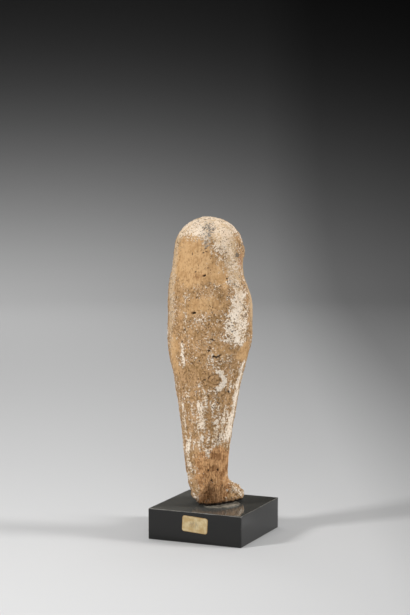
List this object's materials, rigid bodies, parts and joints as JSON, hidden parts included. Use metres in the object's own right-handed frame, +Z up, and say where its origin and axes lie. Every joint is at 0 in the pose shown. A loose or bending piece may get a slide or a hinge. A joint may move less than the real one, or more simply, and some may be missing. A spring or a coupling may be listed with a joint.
{
  "type": "ushabti figurine",
  "caption": "Upright mummy-shaped funerary figurine of worn, once-painted wood on a low square black display plinth.",
  "frame": {"origin": "centre of the plinth's underside", "axes": "+Z up; X and Y along the plinth's sides; +Y out of the side that carries the sticker, behind the figurine, which looks towards -Y and is turned 25 degrees to its own right"},
  "size_m": [0.064, 0.0643, 0.2049],
  "materials": {
    "black_acrylic": "polished",
    "grey_putty": "satin",
    "gessoed_wood": "worn gesso over bare wood",
    "aged_paper": "matte paper"
  },
  "bodies": {
    "root": {"plinth": "black_acrylic", "mounting_putty": "grey_putty", "figurine": "gessoed_wood", "paper_sticker": "aged_paper"}
  },
  "joints": []
}
